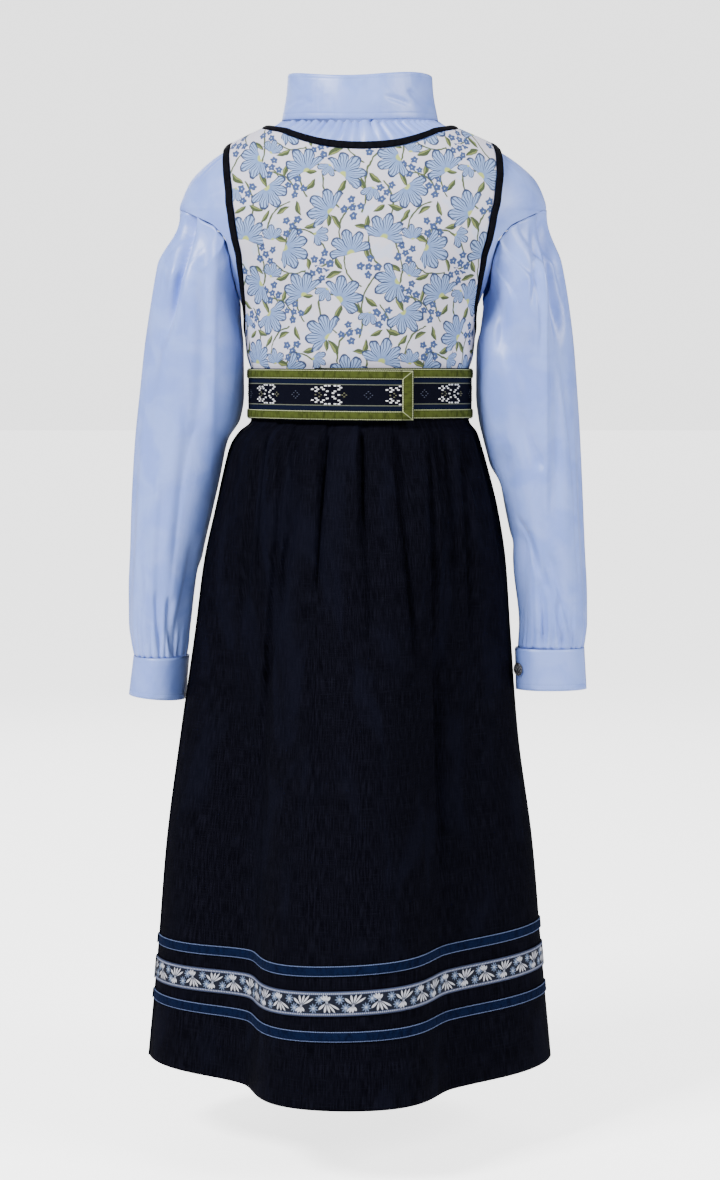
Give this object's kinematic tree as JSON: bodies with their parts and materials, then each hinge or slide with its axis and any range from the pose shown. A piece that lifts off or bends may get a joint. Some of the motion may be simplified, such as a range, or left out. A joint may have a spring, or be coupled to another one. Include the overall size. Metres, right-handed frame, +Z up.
{
  "type": "bunad costume",
  "caption": "Child's folk costume in its worn form: satin shirt, sleeveless print bodice, pleated skirt with ribbons above the hem, and a woven belt.",
  "frame": {"origin": "the middle of the wearer's shoulders, where the costume is held by the body", "axes": "+Z up along the wearer, +Y towards the wearer's back, +X towards the wearer's left"},
  "size_m": [0.4046, 0.3481, 0.8627],
  "materials": {
    "shirt_satin": "smooth satin with a soft sheen",
    "bodice_print": "matt printed cloth",
    "black_velvet": "black velvet binding",
    "belt_woven": "dark woven band",
    "green_velvet": "green velvet with a pale piped edge",
    "skirt_wool": "matt, near-black navy cloth",
    "blue_velvet": "blue velvet ribbon",
    "hem_ribbon": "woven ribbon with a pale pattern",
    "button_metal": "dark oxidised silver"
  },
  "bodies": {
    "root": {"armhole_binding_left": "black_velvet", "armhole_binding_right": "black_velvet", "belt_band": "belt_woven", "belt_velvet_end": "green_velvet", "belt_velvet_lower": "green_velvet", "belt_velvet_upper": "green_velvet", "bodice_back": "bodice_print", "bodice_front_left": "bodice_print", "bodice_front_right": "bodice_print", "collar_button": "button_metal", "cuff_button_left": "button_metal", "cuff_button_right": "button_metal", "cuff_left": "shirt_satin", "cuff_right": "shirt_satin", "neck_binding": "black_velvet", "ribbon_velvet_lower": "blue_velvet", "ribbon_velvet_upper": "blue_velvet", "ribbon_woven": "hem_ribbon", "shirt_back": "shirt_satin", "shirt_collar": "shirt_satin", "shirt_front_left": "shirt_satin", "shirt_front_right": "shirt_satin", "skirt_back": "skirt_wool", "skirt_front": "skirt_wool", "sleeve_left": "shirt_satin", "sleeve_right": "shirt_satin"}
  },
  "joints": []
}
